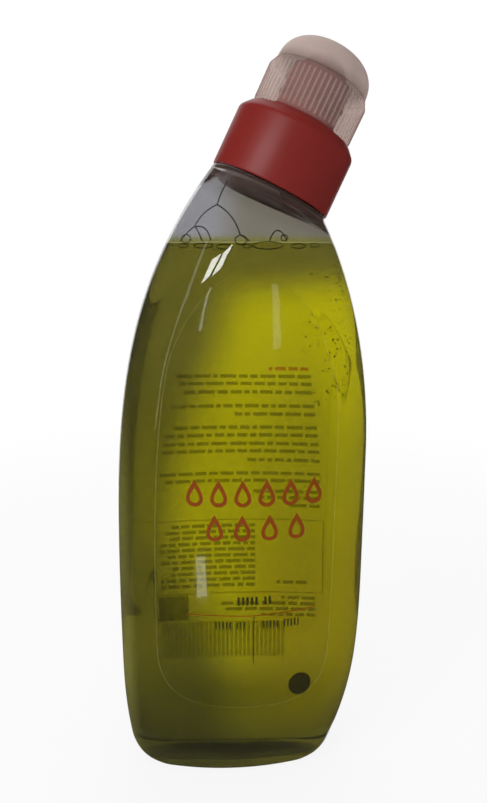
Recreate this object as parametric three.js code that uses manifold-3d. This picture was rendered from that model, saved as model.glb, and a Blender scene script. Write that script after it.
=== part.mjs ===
// A 750 ml toilet cleaner bottle: a clear blown bottle whose neck leans sideways, the liquid in it,
// a red snap-on closure with a nozzle, a frosted ribbed overcap and two clear film labels.
// Millimetres. The bottle stands on z = 0, its neck leans towards +X, and its front label faces -Y.
import * as THREE from 'three';
import { mergeVertices } from 'three/addons/utils/BufferGeometryUtils.js';
import Module from 'manifold-3d';

const wasm = await Module();
wasm.setup();

// Body, seen from the front: how far its two sides reach, and the cubic curves that they follow
const BELLY_HALF_WIDTH = 46;
const LEFT_SIDE = {
  footX: -44,
  footAngle: 8.2,
  footPull: 9.7,
  bellyZ: 40.6,
  bellyPullDown: 11.6,
  bellyPullUp: 87.6,
  neckAngle: 37.9,
  neckPull: 59.8,
};
const RIGHT_SIDE = {
  footX: 36.9,
  footAngle: 17.1,
  footPull: 34.4,
  bellyZ: 124,
  bellyPullDown: 66,
  bellyPullUp: 42.5,
  neckAngle: -29.7,
  neckPull: 11.8,
};

// Body, seen from the side: half its depth at the foot and at the belly
const FOOT_HALF_DEPTH = 23.5;
const BELLY_HALF_DEPTH = 35;
const DEPTH_BELLY_Z = 98;
const DEPTH_PULL_DOWN = 52;
const DEPTH_PULL_UP = 62;
const DEPTH_END_PULL = 26;
const FOOT_SPREAD = 6.5;
const SHOULDER_SPREAD = 8.7;

// Roundness of the cross-section: 2 is an ellipse, and more is squarer
const FOOT_SQUARENESS = 2.75;
const BELLY_SQUARENESS = 2.2;
const NECK_SQUARENESS = 2;

// Flat panels on the front and the back, which cut a shallow slice off the body
const PANEL_DEPTH = 3;
const PANEL_BOTTOM_Z = 31;
const PANEL_FULL_Z = 54;
const PANEL_FADE_Z = 150;
const PANEL_TOP_Z = 211;
const PANEL_CROWN = 0.307;
const PANEL_HALF_SHARE = 0.7;

// Heel, base and wall of the blown shell
const HEEL_HEIGHT = 9;
const HEEL_INSET = 7.4;
const HEEL_WALL_EASE = 0.4;
const REST_RING_WIDTH = 4;
const PUSH_UP = 4.5;
const PUSH_UP_STEPS = [0.3, 0.65];
const WALL = 0.7;
const BASE_WALL = 1.4;

// Neck, which carries the closure. Distances along its axis start at the closure's lower edge.
const NECK_FOOT_X = 10.05;
const NECK_FOOT_Z = 214.2;
const NECK_LEAN = 25.5;
const SHOULDER_RADIUS = 20.9;
const SHOULDER_ROUND = 0.8;
const SHOULDER_ARC_SHARE = 0.3;
const NECK_RADIUS = 16.4;
const NECK_WALL = 2.2;
const BORE_FLARE = 1;
const BEAD_HEIGHT = 1.2;
const BEAD_BOTTOM = 6;
const BEAD_WIDTH = 2.4;
const BEAD_LEAD = 0.4;
const LIP_ROUND = 0.65;

// Clearances: a part that rests on its neighbour, and one that slides in or over it
const SEAT_GAP = 0.3;
const SLIDE_GAP = 0.5;

// Liquid
const FILL_LEVEL = 196.6;
const LIQUID_GAP = 0.3;

// Closure: a drafted skirt, a bevel, a deck, a flange, a spigot and a nozzle
const SKIRT_RADIUS = 20.7;
const SKIRT_DRAFT = 0.3;
const SKIRT_HEIGHT = 19.6;
const SKIRT_WALL = 1.5;
const DECK_HEIGHT = 22.7;
const DECK_RADIUS = 17.8;
const DECK_WALL = 1.6;
const EDGE = 0.5;
const BEVEL_EDGE_SHARE = 0.28;
const BEVEL_SOFT_SHARE = 0.12;
const SNAP_RING_HEIGHT = 2;
const SNAP_RING_LEAD = 1;
const SEAL_DEPTH = 4;
const SEAL_WALL = 1.2;
const SEAL_LEAD = 1.6;
const FLANGE_RADIUS = 12;
const FLANGE_HEIGHT = 2.3;
const SPIGOT_RADIUS = 10.4;
const SPIGOT_TOP = 39.2;
const SPIGOT_WALL = 1.4;
const SPIGOT_EDGE = 0.9;
const SPIGOT_ARC_SHARE = 0.3;
const NOZZLE_FOOT_RADIUS = 8.6;
const NOZZLE_MIDDLE_RADIUS = 7;
const NOZZLE_TIP_RADIUS = 2.8;
const NOZZLE_TIP = 45.8;
const ORIFICE_RADIUS = 1.4;

// Overcap: a ribbed band, a shoulder with a groove, a dome, an inner skirt and a plug
const BAND_RADIUS = 17.4;
const RIB_COUNT = 60;
const RIB_HEIGHT = 0.35;
const BAND_PLAIN_FOOT = 0.8;
const BAND_TOP = 35.2;
const BAND_SHOULDER_SHARE = 0.35;
const GROOVE_HEIGHT = 37.5;
const GROOVE_RADIUS = 16.1;
const GROOVE_DEPTH = 0.3;
const DOME_RADIUS = 15.9;
const DOME_APEX = 48.6;
const DOME_SQUARENESS = 2.4;
const CAP_WALL = 1.3;
const INNER_SKIRT_WALL = 1;
const INNER_SKIRT_LIFT = 2.5;
const INNER_SKIRT_TOP_SHARE = 0.75;
const PLUG_REACH = 1.6;

// Labels: clear film with an arched top and rounded lower corners
const FILM = 0.25;
const FILM_GAP = 0.25;
const LABEL_BOTTOM_Z = 37;
const LABEL_CORNER_Z = 60;
const LABEL_ARCH_Z = 150;
const LABEL_TOP_Z = 189;
const LABEL_HALF_SHARE = 0.66;
const LABEL_END_SHARE = 0.04;

// How finely the round forms are divided
const PANEL_COLUMNS = 6;
const SIDE_COLUMNS = 5;
const BODY_ROWS = 24;
const INNER_ROWS = 16;
const INNER_TOP_SHARE = 0.975;
const HEEL_ROWS = 4;
const LATHE_SEGMENTS = 36;
const DOME_ROWS = 6;
const LABEL_COLUMNS = 8;
const LABEL_ROWS = 16;
const OUTLINE_STEPS = 90;

const { lerp, smoothstep, degToRad } = THREE.MathUtils;
const lean = degToRad(NECK_LEAN);
const neckFoot = new THREE.Vector2(NECK_FOOT_X, NECK_FOOT_Z);
const neckAxis = new THREE.Vector2(Math.sin(lean), Math.cos(lean));
const neckAcross = new THREE.Vector2(Math.cos(lean), -Math.sin(lean));

// Point of the front view at a distance along the neck's axis and across it
function neckPoint(along, across) {
  return neckFoot.clone().addScaledVector(neckAxis, along).addScaledVector(neckAcross, across);
}

// An outline from the heel to the shoulder: two cubic curves that meet at the belly, as closely spaced points
function twoCurves(foot, footPull, belly, pullDown, pullUp, neckPull, neck) {
  const lowered = new THREE.Vector2(belly.x, belly.y - pullDown);
  const raised = new THREE.Vector2(belly.x, belly.y + pullUp);
  const lower = new THREE.CubicBezierCurve(foot, footPull, lowered, belly);
  const upper = new THREE.CubicBezierCurve(belly, raised, neckPull, neck);
  return [...lower.getPoints(OUTLINE_STEPS), ...upper.getPoints(OUTLINE_STEPS).slice(1)];
}

// One side of the body in the front view
function sideOutline(side, sign) {
  const foot = new THREE.Vector2(side.footX, HEEL_HEIGHT);
  const belly = new THREE.Vector2(sign * BELLY_HALF_WIDTH, side.bellyZ);
  const neck = neckPoint(-SEAT_GAP - SHOULDER_ROUND, sign * SHOULDER_RADIUS);
  const pull = (from, angle, length) => new THREE.Vector2(
    from.x + Math.sin(degToRad(angle)) * length, from.y + Math.cos(degToRad(angle)) * length);
  const footPull = pull(foot, sign * side.footAngle, side.footPull);
  const neckPull = pull(neck, side.neckAngle, -side.neckPull);
  return twoCurves(foot, footPull, belly, side.bellyPullDown, side.bellyPullUp, neckPull, neck);
}

// Half the body's depth against height, in the side view
function depthOutline() {
  const foot = new THREE.Vector2(FOOT_HALF_DEPTH, HEEL_HEIGHT);
  const belly = new THREE.Vector2(BELLY_HALF_DEPTH, DEPTH_BELLY_Z);
  const neck = new THREE.Vector2(SHOULDER_RADIUS, neckPoint(-SEAT_GAP - SHOULDER_ROUND, 0).y);
  const footPull = new THREE.Vector2(foot.x + FOOT_SPREAD, foot.y + DEPTH_END_PULL);
  const neckPull = new THREE.Vector2(neck.x + SHOULDER_SPREAD, neck.y - DEPTH_END_PULL);
  return twoCurves(foot, footPull, belly, DEPTH_PULL_DOWN, DEPTH_PULL_UP, neckPull, neck);
}

// The outline's x at height z
function outlineAt(points, z) {
  const i = Math.max(1, points.findIndex((p) => p.y >= z));
  const a = points[i - 1];
  const b = points[i];
  return lerp(a.x, b.x, (z - a.y) / (b.y - a.y));
}

const leftOutline = sideOutline(LEFT_SIDE, -1);
const rightOutline = sideOutline(RIGHT_SIDE, 1);
const depths = depthOutline();

// Places round a quarter of a section, as shares of its half width: from its side, past the panel's edge,
// to its middle
function quarterShares() {
  const edge = Math.acos(PANEL_HALF_SHARE);
  const side = Array.from({ length: SIDE_COLUMNS }, (_, i) => Math.cos((edge * i) / SIDE_COLUMNS));
  const panel = Array.from({ length: PANEL_COLUMNS }, (_, i) => PANEL_HALF_SHARE * (1 - i / PANEL_COLUMNS));
  return [...side, ...panel];
}

// A section at the share s of the way from heel to shoulder. Sections fan out from level at the heel to
// square with the neck.
function bodySection(s) {
  const zLeft = lerp(HEEL_HEIGHT, leftOutline.at(-1).y, s);
  const zRight = lerp(HEEL_HEIGHT, rightOutline.at(-1).y, s);
  const left = new THREE.Vector2(outlineAt(leftOutline, zLeft), zLeft);
  const right = new THREE.Vector2(outlineAt(rightOutline, zRight), zRight);
  const centre = left.clone().add(right).multiplyScalar(0.5);
  const across = right.clone().sub(left);
  const z = centre.y;
  const squareness = lerp(
    lerp(FOOT_SQUARENESS, BELLY_SQUARENESS, smoothstep(z, HEEL_HEIGHT, DEPTH_BELLY_Z)),
    NECK_SQUARENESS, smoothstep(z, DEPTH_BELLY_Z, PANEL_TOP_Z));
  const panelStart = smoothstep(z, PANEL_BOTTOM_Z, PANEL_FULL_Z);
  const panelEnd = smoothstep(z, PANEL_FADE_Z, PANEL_TOP_Z);
  return {
    centre,
    direction: across.clone().normalize(),
    halfWidth: across.length() / 2,
    halfDepth: outlineAt(depths, z),
    squareness,
    cut: PANEL_DEPTH * panelStart * (1 - panelEnd),
  };
}

// Depth of a section at the share v of its half width: the body's round form, sliced by the panel
function sectionDepth(section, v, inset) {
  const round = (1 - v ** section.squareness) ** (1 / section.squareness) * section.halfDepth;
  const panel = section.halfDepth - section.cut - PANEL_CROWN * section.halfDepth * v * v;
  return Math.min(round, panel) * (1 - inset / section.halfDepth);
}

// Repeats a quarter of a ring in the other three, counterclockwise seen from above
function fullRing(pointAt) {
  const quarter = quarterShares();
  const back = [...quarter.map((v) => [v, 1]), [0, 1], ...quarter.slice(1).reverse().map((v) => [-v, 1])];
  const front = [...quarter.map((v) => [-v, -1]), [0, -1], ...quarter.slice(1).reverse().map((v) => [v, -1])];
  return [...back, ...front].map(([v, y]) => pointAt(v, y));
}

function bodyRing(s, inset) {
  const section = bodySection(s);
  return fullRing((v, y) => {
    const x = v * (section.halfWidth - inset);
    return new THREE.Vector3(
      section.centre.x + section.direction.x * x, y * sectionDepth(section, Math.abs(v), inset),
      section.centre.y + section.direction.y * x);
  });
}

// A level ring of the heel or the base at height z
function heelRing(inset, z) {
  const section = bodySection(0);
  return fullRing((v, y) => new THREE.Vector3(
    section.centre.x + v * (section.halfWidth - inset), y * sectionDepth(section, Math.abs(v), inset), z));
}

// A round ring of the neck, square with its axis
function neckRing(along, radius) {
  return fullRing((v, y) => {
    const p = neckPoint(along, v * radius);
    return new THREE.Vector3(p.x, y * radius * Math.sqrt(1 - v * v), p.y);
  });
}

// Rings from the middle of the base up to the body: a push-up, a flat resting ring and a rounded heel
function footRings(inset, rise) {
  const base = bodySection(0);
  const restInner = HEEL_INSET + REST_RING_WIDTH;
  const dome = PUSH_UP_STEPS.map((share) => heelRing(
    lerp(base.halfDepth, restInner + inset, share), PUSH_UP * (1 - share ** 2) + rise));
  const round = HEEL_INSET - inset * HEEL_WALL_EASE;
  const heel = Array.from({ length: HEEL_ROWS }, (_, i) => {
    const turn = (Math.PI / 2) * (i / HEEL_ROWS);
    return heelRing(inset + round * (1 - Math.sin(turn)), rise + (HEEL_HEIGHT - rise) * (1 - Math.cos(turn)));
  });
  const centre = [new THREE.Vector3(base.centre.x, 0, PUSH_UP + rise)];
  return [centre, ...dome, heelRing(restInner + inset, rise), ...heel];
}

function bodyRings(rows, inset, top) {
  return Array.from({ length: rows + 1 }, (_, i) => bodyRing((i / rows) * top, inset));
}

// Closed mesh through rings of equal count, each quad split along its shorter diagonal. The first and the
// last ring may be single points.
function loft(rings) {
  const points = rings.flat();
  const positions = points.flatMap((p) => [p.x, p.y, p.z]);
  const starts = [];
  rings.reduce((start, ring) => (starts.push(start), start + ring.length), 0);
  const index = [];
  for (let r = 0; r + 1 < rings.length; r += 1) {
    const [low, high] = [rings[r], rings[r + 1]];
    const count = Math.max(low.length, high.length);
    const at = (ring, start, i) => start + (ring.length === 1 ? 0 : i % count);
    for (let i = 0; i < count; i += 1) {
      const a = at(low, starts[r], i);
      const b = at(low, starts[r], i + 1);
      const c = at(high, starts[r + 1], i + 1);
      const d = at(high, starts[r + 1], i);
      if (a === b) index.push(a, c, d);
      else if (c === d) index.push(a, b, c);
      else if (points[a].distanceTo(points[c]) < points[b].distanceTo(points[d])) index.push(a, b, c, a, c, d);
      else index.push(a, b, d, b, c, d);
    }
  }
  const geometry = new THREE.BufferGeometry();
  geometry.setAttribute('position', new THREE.Float32BufferAttribute(positions, 3));
  geometry.setIndex(index);
  return geometry;
}

function toManifold(geometry) {
  const bare = geometry.clone();
  bare.deleteAttribute('normal');
  bare.deleteAttribute('uv');
  const merged = mergeVertices(bare, 1e-5);
  return new wasm.Manifold(new wasm.Mesh({
    numProp: 3, vertProperties: merged.attributes.position.array, triVerts: new Uint32Array(merged.index.array),
  }));
}

function toGeometry(solid) {
  const mesh = solid.getMesh();
  const geometry = new THREE.BufferGeometry();
  geometry.setAttribute('position', new THREE.BufferAttribute(mesh.vertProperties, 3));
  geometry.setIndex(new THREE.BufferAttribute(mesh.triVerts, 1));
  return geometry;
}

// Solid of revolution about Z from (radius, height) pairs
function turned(pairs, segments = LATHE_SEGMENTS) {
  return new THREE.LatheGeometry(pairs.map(([r, z]) => new THREE.Vector2(r, z)), segments).rotateX(Math.PI / 2);
}

// Where the closure's deck meets the bottle's lip
const lipHeight = DECK_HEIGHT - DECK_WALL - SEAT_GAP;
const neckBore = NECK_RADIUS - NECK_WALL;

function bottle() {
  const arc = SHOULDER_ROUND * SHOULDER_ARC_SHARE;
  const ledge = -SEAT_GAP;
  const ledgeUnder = ledge - WALL;
  const outerNeck = [
    [ledge - arc, SHOULDER_RADIUS - arc],
    [ledge, SHOULDER_RADIUS - SHOULDER_ROUND],
    [ledge, NECK_RADIUS],
    [BEAD_BOTTOM, NECK_RADIUS],
    [BEAD_BOTTOM + BEAD_LEAD, NECK_RADIUS + BEAD_HEIGHT],
    [BEAD_BOTTOM + BEAD_WIDTH / 2, NECK_RADIUS + BEAD_HEIGHT],
    [BEAD_BOTTOM + BEAD_WIDTH, NECK_RADIUS],
    [lipHeight - LIP_ROUND, NECK_RADIUS],
    [lipHeight, NECK_RADIUS - LIP_ROUND],
  ];
  const bore = [
    [lipHeight, neckBore + LIP_ROUND],
    [lipHeight - LIP_ROUND, neckBore],
    [0, neckBore],
    [ledgeUnder, neckBore + BORE_FLARE],
    [ledgeUnder - arc, SHOULDER_RADIUS - WALL - 2 * SHOULDER_ROUND],
  ];
  const ring = ([along, radius]) => neckRing(along, radius);
  const inside = [...footRings(WALL, BASE_WALL), ...bodyRings(INNER_ROWS, WALL, INNER_TOP_SHARE)].reverse();
  return loft([
    ...footRings(0, 0), ...bodyRings(BODY_ROWS, 0, 1), ...outerNeck.map(ring), ...bore.map(ring), ...inside,
  ]);
}

function liquid() {
  const inset = WALL + LIQUID_GAP;
  const rings = [...footRings(inset, BASE_WALL + LIQUID_GAP), ...bodyRings(INNER_ROWS, inset, INNER_TOP_SHARE)];
  const last = rings.at(-1);
  const middle = last[0].clone().add(last[last.length / 2]).multiplyScalar(0.5);
  const full = toManifold(loft([...rings, [middle]]));
  const reach = 4 * BELLY_HALF_WIDTH;
  const below = new THREE.BoxGeometry(reach, reach, reach).translate(0, 0, FILL_LEVEL - reach / 2);
  return toGeometry(full.intersect(toManifold(below)));
}

// Red closure, in the neck's frame
function closure() {
  const bevel = SKIRT_RADIUS - DECK_RADIUS;
  const edge = bevel * BEVEL_EDGE_SHARE;
  const soft = bevel * BEVEL_SOFT_SHARE;
  const skirtFoot = SKIRT_RADIUS + SKIRT_DRAFT;
  const deckUnder = DECK_HEIGHT - DECK_WALL;
  const skirtBore = SKIRT_RADIUS - SKIRT_WALL;
  const snapBore = NECK_RADIUS + SLIDE_GAP;
  const snapTop = BEAD_BOTTOM - SEAT_GAP;
  const sealRadius = neckBore - SEAT_GAP;
  const sealInner = sealRadius - SEAL_WALL;
  const sealFoot = deckUnder - SEAL_DEPTH;
  const flangeTop = DECK_HEIGHT + FLANGE_HEIGHT;
  const spigotBore = SPIGOT_RADIUS - SPIGOT_WALL;
  const spigotArc = SPIGOT_EDGE * SPIGOT_ARC_SHARE;
  const nozzleMiddle = (SPIGOT_TOP + NOZZLE_TIP) / 2;
  const nozzleBore = NOZZLE_FOOT_RADIUS - SPIGOT_WALL;
  const outside = [
    [skirtBore, 0], [skirtFoot - EDGE, 0], [skirtFoot, EDGE],
    [SKIRT_RADIUS, SKIRT_HEIGHT], [SKIRT_RADIUS - soft, SKIRT_HEIGHT + edge],
    [DECK_RADIUS + edge, DECK_HEIGHT - soft], [DECK_RADIUS - edge, DECK_HEIGHT],
    [FLANGE_RADIUS, DECK_HEIGHT], [FLANGE_RADIUS, flangeTop - EDGE], [FLANGE_RADIUS - EDGE, flangeTop],
    [SPIGOT_RADIUS, flangeTop], [SPIGOT_RADIUS, SPIGOT_TOP - SPIGOT_EDGE],
    [SPIGOT_RADIUS - spigotArc, SPIGOT_TOP - spigotArc], [SPIGOT_RADIUS - SPIGOT_EDGE, SPIGOT_TOP],
    [NOZZLE_FOOT_RADIUS, SPIGOT_TOP], [NOZZLE_MIDDLE_RADIUS, nozzleMiddle],
    [NOZZLE_TIP_RADIUS + EDGE, NOZZLE_TIP - EDGE], [NOZZLE_TIP_RADIUS, NOZZLE_TIP],
  ];
  const inside = [
    [ORIFICE_RADIUS, NOZZLE_TIP], [ORIFICE_RADIUS, nozzleMiddle],
    [nozzleBore, SPIGOT_TOP - SPIGOT_WALL / 2], [spigotBore, SPIGOT_TOP - SPIGOT_WALL * 2],
    [spigotBore, deckUnder], [sealInner, deckUnder], [sealInner, sealFoot],
    [(sealInner + sealRadius) / 2, sealFoot], [sealRadius, sealFoot + SEAL_LEAD], [sealRadius, deckUnder],
    [skirtBore, deckUnder], [skirtBore, snapTop + SNAP_RING_LEAD], [snapBore, snapTop],
    [snapBore, snapTop - SNAP_RING_HEIGHT + SNAP_RING_LEAD], [skirtBore, snapTop - SNAP_RING_HEIGHT],
    [skirtBore, 0],
  ];
  return turned([...outside, ...inside]);
}

// Radius of the overcap's dome at a height, as a squared-off ellipse
function domeProfile(radius, foot, apex) {
  const power = 2 / DOME_SQUARENESS;
  return Array.from({ length: DOME_ROWS + 1 }, (_, i) => {
    const turn = (Math.PI / 2) * (i / DOME_ROWS);
    return [radius * Math.cos(turn) ** power, foot + (apex - foot) * Math.sin(turn) ** power];
  });
}

// Frosted overcap, in the neck's frame: its ribbed outside less its hollow, with an inner skirt and a plug
function overcap() {
  const foot = DECK_HEIGHT + SEAT_GAP;
  const columns = RIB_COUNT * 2;
  const ribbed = (z, crest, rib) => Array.from({ length: columns }, (_, i) => {
    const turn = (2 * Math.PI * i) / columns;
    const radius = crest - (i % 2 ? rib : 0);
    return new THREE.Vector3(radius * Math.cos(turn), radius * Math.sin(turn), z);
  });
  const plain = BAND_RADIUS - RIB_HEIGHT;
  const ribFoot = foot + BAND_PLAIN_FOOT;
  const domeFoot = GROOVE_HEIGHT + GROOVE_DEPTH;
  const dome = domeProfile(DOME_RADIUS, domeFoot, DOME_APEX);
  const outside = toManifold(loft([
    [new THREE.Vector3(0, 0, foot)],
    ribbed(foot, plain, 0),
    ribbed(ribFoot, plain, 0),
    ribbed(ribFoot + RIB_HEIGHT, BAND_RADIUS, RIB_HEIGHT),
    ribbed(BAND_TOP, BAND_RADIUS, RIB_HEIGHT),
    ribbed((BAND_TOP + GROOVE_HEIGHT) / 2, lerp(BAND_RADIUS, GROOVE_RADIUS, BAND_SHOULDER_SHARE), 0),
    ribbed(GROOVE_HEIGHT - GROOVE_DEPTH, GROOVE_RADIUS + GROOVE_DEPTH, 0),
    ribbed(GROOVE_HEIGHT, GROOVE_RADIUS - GROOVE_DEPTH, 0),
    ...dome.slice(0, -1).map(([radius, z]) => ribbed(z, radius, 0)),
    [new THREE.Vector3(0, 0, DOME_APEX)],
  ]));
  const bandBore = plain - CAP_WALL;
  const below = foot - CAP_WALL;
  const innerApex = DOME_APEX - CAP_WALL;
  const innerDome = domeProfile(DOME_RADIUS - CAP_WALL, domeFoot, innerApex).slice(0, -1);
  const hollow = toManifold(turned([
    [0, below], [bandBore, below], [bandBore, BAND_TOP - CAP_WALL / 2], ...innerDome, [0, innerApex],
  ]));
  const skirtBore = SPIGOT_RADIUS + 2 * SLIDE_GAP;
  const skirtFoot = DECK_HEIGHT + FLANGE_HEIGHT + INNER_SKIRT_LIFT;
  const skirtOuter = skirtBore + INNER_SKIRT_WALL;
  const skirtTop = lerp(domeFoot, innerApex, INNER_SKIRT_TOP_SHARE);
  const skirt = toManifold(turned([
    [skirtBore, skirtFoot], [skirtOuter, skirtFoot], [skirtOuter, skirtTop], [skirtBore, skirtTop],
    [skirtBore, skirtFoot],
  ]));
  const plugRadius = ORIFICE_RADIUS - SEAT_GAP;
  const plugEnd = NOZZLE_TIP - PLUG_REACH;
  const plugRoot = innerApex + CAP_WALL / 2;
  const plug = toManifold(turned([
    [0, plugEnd], [plugRadius, plugEnd + plugRadius / 2], [plugRadius, NOZZLE_TIP],
    [plugRadius, plugRoot], [0, plugRoot],
  ], LATHE_SEGMENTS / 2));
  return toGeometry(outside.subtract(hollow).add(skirt).add(plug));
}

// Share of the label's full half width at height z: rounded lower corners and an arched top
function labelShare(z) {
  const low = Math.max(0, (LABEL_CORNER_Z - z) / (LABEL_CORNER_Z - LABEL_BOTTOM_Z));
  const high = Math.max(0, (z - LABEL_ARCH_Z) / (LABEL_TOP_Z - LABEL_ARCH_Z));
  return LABEL_HALF_SHARE * (1 - low ** 3) ** (1 / 3) * Math.sqrt(1 - high ** 2);
}

// Clear film on the front (facing = -1) or the back (facing = 1) panel
function label(facing) {
  const top = (leftOutline.at(-1).y + rightOutline.at(-1).y) / 2;
  const shareAt = (z) => (z - HEEL_HEIGHT) / (top - HEEL_HEIGHT);
  const sheet = (lift) => Array.from({ length: LABEL_ROWS + 1 }, (_, r) => {
    const turn = (Math.PI * r) / LABEL_ROWS;
    const z = lerp(LABEL_BOTTOM_Z, LABEL_TOP_Z, (1 - Math.cos(turn)) / 2);
    const section = bodySection(shareAt(z));
    const half = Math.max(labelShare(z), LABEL_END_SHARE);
    return Array.from({ length: LABEL_COLUMNS + 1 }, (_, c) => {
      const v = half * ((2 * c) / LABEL_COLUMNS - 1);
      const depth = sectionDepth(section, Math.abs(v), 0) + lift;
      const x = v * section.halfWidth;
      return new THREE.Vector3(
        section.centre.x + section.direction.x * x, facing * depth, section.centre.y + section.direction.y * x);
    });
  });
  const outer = sheet(FILM_GAP + FILM);
  const inner = sheet(FILM_GAP);
  // The points of one face's outline, taken once round
  const border = (rows) => [
    ...rows[0], ...rows.slice(1, -1).map((row) => row.at(-1)), ...[...rows.at(-1)].reverse(),
    ...rows.slice(1, -1).reverse().map((row) => row[0]),
  ];
  const faces = [];
  const quad = (a, b, c, d) => faces.push([a, b, c], [a, c, d]);
  const grid = (rows, flip) => {
    for (let r = 0; r < LABEL_ROWS; r += 1) {
      for (let c = 0; c < LABEL_COLUMNS; c += 1) {
        const corners = [rows[r][c], rows[r][c + 1], rows[r + 1][c + 1], rows[r + 1][c]];
        quad(...(flip ? corners.reverse() : corners));
      }
    }
  };
  const flip = facing > 0;
  grid(outer, flip);
  grid(inner, !flip);
  const outerBorder = border(outer);
  const innerBorder = border(inner);
  outerBorder.forEach((p, i) => {
    const next = (i + 1) % outerBorder.length;
    const corners = [p, innerBorder[i], innerBorder[next], outerBorder[next]];
    quad(...(flip ? corners.reverse() : corners));
  });
  const positions = faces.flat().flatMap((p) => [p.x, p.y, p.z]);
  const geometry = new THREE.BufferGeometry();
  geometry.setAttribute('position', new THREE.Float32BufferAttribute(positions, 3));
  return mergeVertices(geometry, 1e-5);
}

function piece(name, geometry, material) {
  const mesh = new THREE.Mesh(geometry, new THREE.MeshStandardMaterial(material));
  mesh.name = name;
  return mesh;
}

const clearPet = { color: 0xe8ecee, roughness: 0.06, metalness: 0, transparent: true, opacity: 0.3 };
const cleaner = { color: 0xb3ad10, roughness: 0.05, metalness: 0, transparent: true, opacity: 0.75 };
const redPlastic = { color: 0x962a30, roughness: 0.4, metalness: 0 };
const frosted = { color: 0xd8c6c0, roughness: 0.5, metalness: 0, transparent: true, opacity: 0.6 };
const film = { color: 0xf2f2ee, roughness: 0.15, metalness: 0, transparent: true, opacity: 0.2 };

const neckFrame = new THREE.Group();
neckFrame.position.set(NECK_FOOT_X, 0, NECK_FOOT_Z);
neckFrame.rotation.y = lean;
neckFrame.add(piece('collar', closure(), redPlastic), piece('overcap', overcap(), frosted));

const object = new THREE.Group();
object.add(
  piece('bottle', bottle(), clearPet), piece('liquid', liquid(), cleaner), neckFrame,
  piece('front_label', label(-1), film), piece('back_label', label(1), film));

export default object;
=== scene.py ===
"""A 750 ml toilet cleaner bottle with a leaning neck, dressed round its solids.

Metres, +Z up, the front label faces -Y.
"""
from math import atan2, cos, pi, radians, sin

import bpy
import numpy as np
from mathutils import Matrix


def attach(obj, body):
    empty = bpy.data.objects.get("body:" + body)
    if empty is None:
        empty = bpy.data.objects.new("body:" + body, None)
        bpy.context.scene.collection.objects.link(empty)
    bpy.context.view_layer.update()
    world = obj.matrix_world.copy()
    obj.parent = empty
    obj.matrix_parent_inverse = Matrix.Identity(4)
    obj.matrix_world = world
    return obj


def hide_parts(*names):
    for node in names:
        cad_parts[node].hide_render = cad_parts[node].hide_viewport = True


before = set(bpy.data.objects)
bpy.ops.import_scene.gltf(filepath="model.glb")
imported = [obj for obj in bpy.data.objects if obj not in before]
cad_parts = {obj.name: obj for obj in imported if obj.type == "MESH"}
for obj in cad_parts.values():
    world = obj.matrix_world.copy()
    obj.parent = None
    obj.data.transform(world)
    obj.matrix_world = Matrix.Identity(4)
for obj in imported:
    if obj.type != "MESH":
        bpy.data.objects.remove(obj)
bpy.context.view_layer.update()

# Camera: it stands close in front of the bottle, a little above its middle, and looks slightly down and to
# the right.
PICTURE_HEIGHT = 803
FOCAL_PIXELS = 620
SENSOR = 36.0
CAMERA_PLACE = (-0.008847, -0.219277, 0.193469)
CAMERA_DOWN = 13.337
CAMERA_RIGHT = 2.622

camera = bpy.data.objects.new("camera", bpy.data.cameras.new("camera"))
bpy.context.scene.collection.objects.link(camera)
camera.data.sensor_width = SENSOR
camera.data.lens = FOCAL_PIXELS / PICTURE_HEIGHT * SENSOR
camera.data.clip_start = 0.01
camera.location = CAMERA_PLACE
camera.rotation_euler = (radians(90 - CAMERA_DOWN), 0, -radians(CAMERA_RIGHT))
bpy.context.scene.camera = camera
bpy.context.scene.view_settings.view_transform = "Standard"


# Floor and backdrop: a round sheet of matt white board in a white room. It takes the bottle's soft shadow,
# and further out it can't be told from the room.
class Value:
    """A shader socket in a sum: each operator adds the Math node that works it out."""

    def __init__(self, finish, socket):
        self.finish = finish
        self.socket = socket

    def output(self, name):
        """Another output of the node that this value comes from."""
        return Value(self.finish, self.socket.node.outputs[name])


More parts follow.
